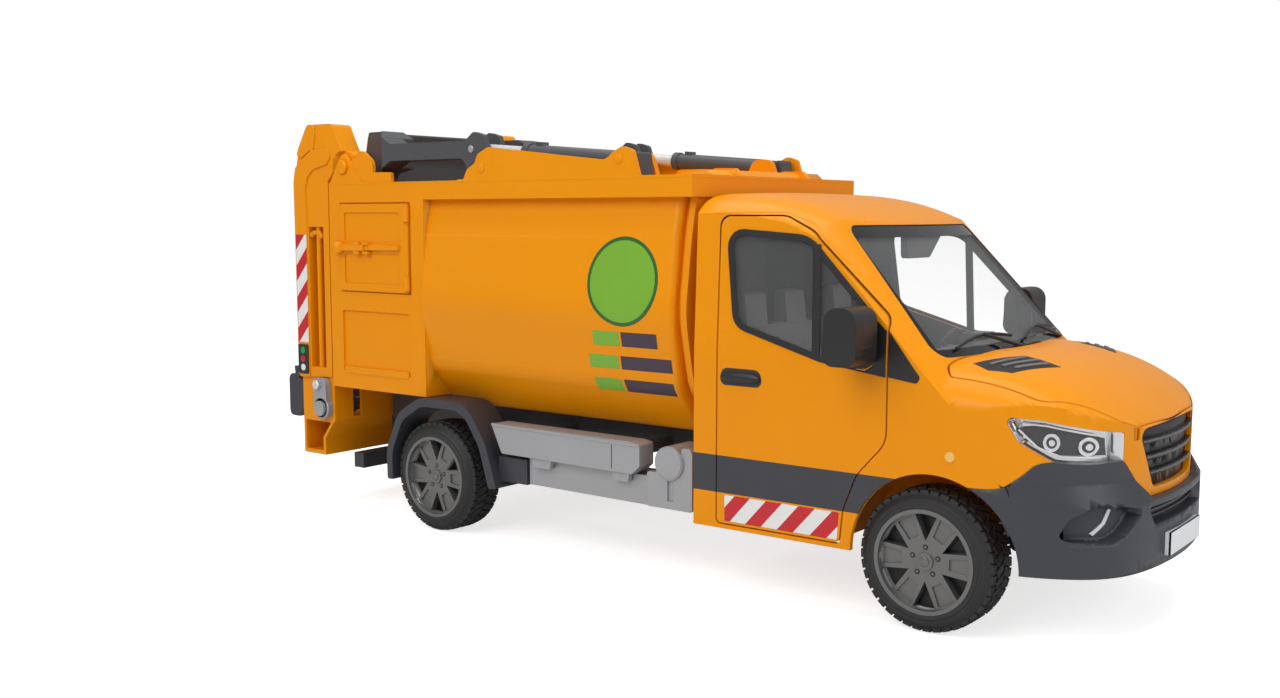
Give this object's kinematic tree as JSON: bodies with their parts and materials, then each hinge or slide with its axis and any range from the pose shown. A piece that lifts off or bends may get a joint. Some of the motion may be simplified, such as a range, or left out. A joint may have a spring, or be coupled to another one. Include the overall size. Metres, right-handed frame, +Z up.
{
  "type": "toy refuse collection truck",
  "caption": "Toy garbage truck on a van chassis with opening doors, bulged container, roof cylinders, packer frame and rear bin lift.",
  "frame": {"origin": "middle of the bounding box, on the floor under the tyres", "axes": "+X towards the front of the truck, +Y to its left, +Z up"},
  "size_m": [0.4106, 0.162, 0.1776],
  "materials": {
    "body_orange": "gloss",
    "slate_trim": "satin",
    "dark_metal": "satin",
    "silver": "satin",
    "black_trim": "satin",
    "seat_grey": "matt",
    "clear_glazing": "clear",
    "rubber": "matt",
    "plate_white": "gloss"
  },
  "bodies": {
    "truck": {"belt_trim": "slate_trim", "cab_floor": "body_orange", "cab_shell": "body_orange", "chassis_frame": "dark_metal", "container": "body_orange", "dashboard": "black_trim", "driver_seat": "seat_grey", "engine_block": "silver", "front_axle": "dark_metal", "front_bumper": "slate_trim", "grille": "black_trim", "headlamps": "clear_glazing", "number_plate": "plate_white", "passenger_bench": "seat_grey", "rear_axle": "dark_metal", "rear_cross_bar": "slate_trim", "rear_fenders": "slate_trim", "roof_frame": "body_orange", "side_rails": "silver", "side_skirts": "silver", "side_tanks": "silver", "steering_wheel": "black_trim", "windscreen": "clear_glazing"},
    "knuckle_right": {"knuckle_right": "dark_metal"},
    "knuckle_left": {"knuckle_left": "dark_metal"},
    "wheel_front_right": {"tyre_front_right": "rubber", "rim_front_right": "silver"},
    "wheel_front_left": {"tyre_front_left": "rubber", "rim_front_left": "silver"},
    "wheel_rear_right": {"tyre_rear_right": "rubber", "rim_rear_right": "silver"},
    "wheel_rear_left": {"tyre_rear_left": "rubber", "rim_rear_left": "silver"},
    "cab_door_right": {"door_right": "body_orange", "door_trim_right": "slate_trim", "door_window_right": "clear_glazing", "mirror_right": "black_trim"},
    "cab_door_left": {"door_left": "body_orange", "door_trim_left": "slate_trim", "door_window_left": "clear_glazing", "mirror_left": "black_trim"},
    "bonnet": {"bonnet": "body_orange"},
    "side_hatch_right": {"side_door_right": "body_orange"},
    "side_hatch_left": {"side_door_left": "body_orange"},
    "tailgate": {"tailgate": "body_orange", "lift_brackets": "silver"},
    "bin_lift": {"lift_shaft": "dark_metal", "lift_comb": "slate_trim"},
    "packer": {"packer_frame": "dark_metal"},
    "barrel_right": {"cylinder_barrel_right": "dark_metal"},
    "barrel_left": {"cylinder_barrel_left": "dark_metal"},
    "rod_right": {"cylinder_rod_right": "silver"},
    "rod_left": {"cylinder_rod_left": "silver"}
  },
  "joints": [
    {"name": "steer_right", "type": "hinge", "parent": "truck", "child": "knuckle_right", "pos_m": [0.14065, -0.036, 0.024], "axis": [0, 0, 1], "range_deg": [-20, 20]},
    {"name": "front_wheel_right", "type": "hinge", "parent": "knuckle_right", "child": "wheel_front_right", "pos_m": [0.14065, -0.053, 0.024], "axis": [0, 1, 0], "continuous": true},
    {"name": "rear_wheel_right", "type": "hinge", "parent": "truck", "child": "wheel_rear_right", "pos_m": [-0.08835, -0.053, 0.024], "axis": [0, 1, 0], "continuous": true},
    {"name": "cab_door_right", "type": "hinge", "parent": "truck", "child": "cab_door_right", "pos_m": [0.12545, -0.0624, 0.08], "axis": [0, 0, 1], "range_deg": [0, 60]},
    {"name": "side_hatch_right", "type": "hinge", "parent": "truck", "child": "side_hatch_right", "pos_m": [-0.10435, -0.0609, 0.122], "axis": [0, 0, 1], "range_deg": [0, 100]},
    {"name": "barrel_right", "type": "hinge", "parent": "truck", "child": "barrel_right", "pos_m": [0.01165, -0.051, 0.157], "axis": [0, 1, 0], "range_deg": [-4, 4]},
    {"name": "rod_right", "type": "slide", "parent": "barrel_right", "child": "rod_right", "axis": [-0.9965, 0, 0.0835], "range_m": [-0.006, 0.006]},
    {"name": "steer_left", "type": "hinge", "parent": "truck", "child": "knuckle_left", "pos_m": [0.14065, 0.036, 0.024], "axis": [0, 0, 1], "range_deg": [-20, 20]},
    {"name": "front_wheel_left", "type": "hinge", "parent": "knuckle_left", "child": "wheel_front_left", "pos_m": [0.14065, 0.053, 0.024], "axis": [0, 1, 0], "continuous": true},
    {"name": "rear_wheel_left", "type": "hinge", "parent": "truck", "child": "wheel_rear_left", "pos_m": [-0.08835, 0.053, 0.024], "axis": [0, 1, 0], "continuous": true},
    {"name": "cab_door_left", "type": "hinge", "parent": "truck", "child": "cab_door_left", "pos_m": [0.12545, 0.0624, 0.08], "axis": [0, 0, -1], "range_deg": [0, 60]},
    {"name": "side_hatch_left", "type": "hinge", "parent": "truck", "child": "side_hatch_left", "pos_m": [-0.10435, 0.0609, 0.122], "axis": [0, 0, -1], "range_deg": [0, 100]},
    {"name": "barrel_left", "type": "hinge", "parent": "truck", "child": "barrel_left", "pos_m": [0.01165, 0.051, 0.157], "axis": [0, 1, 0], "range_deg": [-4, 4]},
    {"name": "rod_left", "type": "slide", "parent": "barrel_left", "child": "rod_left", "axis": [-0.9965, 0, 0.0835], "range_m": [-0.006, 0.006]},
    {"name": "bonnet_lift", "type": "hinge", "parent": "truck", "child": "bonnet", "pos_m": [0.14065, 0, 0.091], "axis": [0, -1, 0], "range_deg": [0, 50]},
    {"name": "tailgate_lift", "type": "hinge", "parent": "truck", "child": "tailgate", "pos_m": [-0.14605, 0, 0.1579], "axis": [0, 1, 0], "range_deg": [0, 60]},
    {"name": "bin_lift", "type": "hinge", "parent": "tailgate", "child": "bin_lift", "pos_m": [-0.16285, 0, 0.0472], "axis": [0, 1, 0], "range_deg": [0, 90]},
    {"name": "packer_swing", "type": "hinge", "parent": "truck", "child": "packer", "pos_m": [-0.06135, 0, 0.156], "axis": [0, 1, 0], "range_deg": [0, 30]}
  ],
  "couplings": [
    {"joint": "steer_left", "follows": "steer_right", "ratio": 1},
    {"joint": "barrel_right", "follows": "packer_swing", "ratio": 0.0782},
    {"joint": "rod_right", "follows": "packer_swing", "m_per_rad": -0.008291},
    {"joint": "barrel_left", "follows": "packer_swing", "ratio": 0.0782},
    {"joint": "rod_left", "follows": "packer_swing", "m_per_rad": -0.008291}
  ]
}
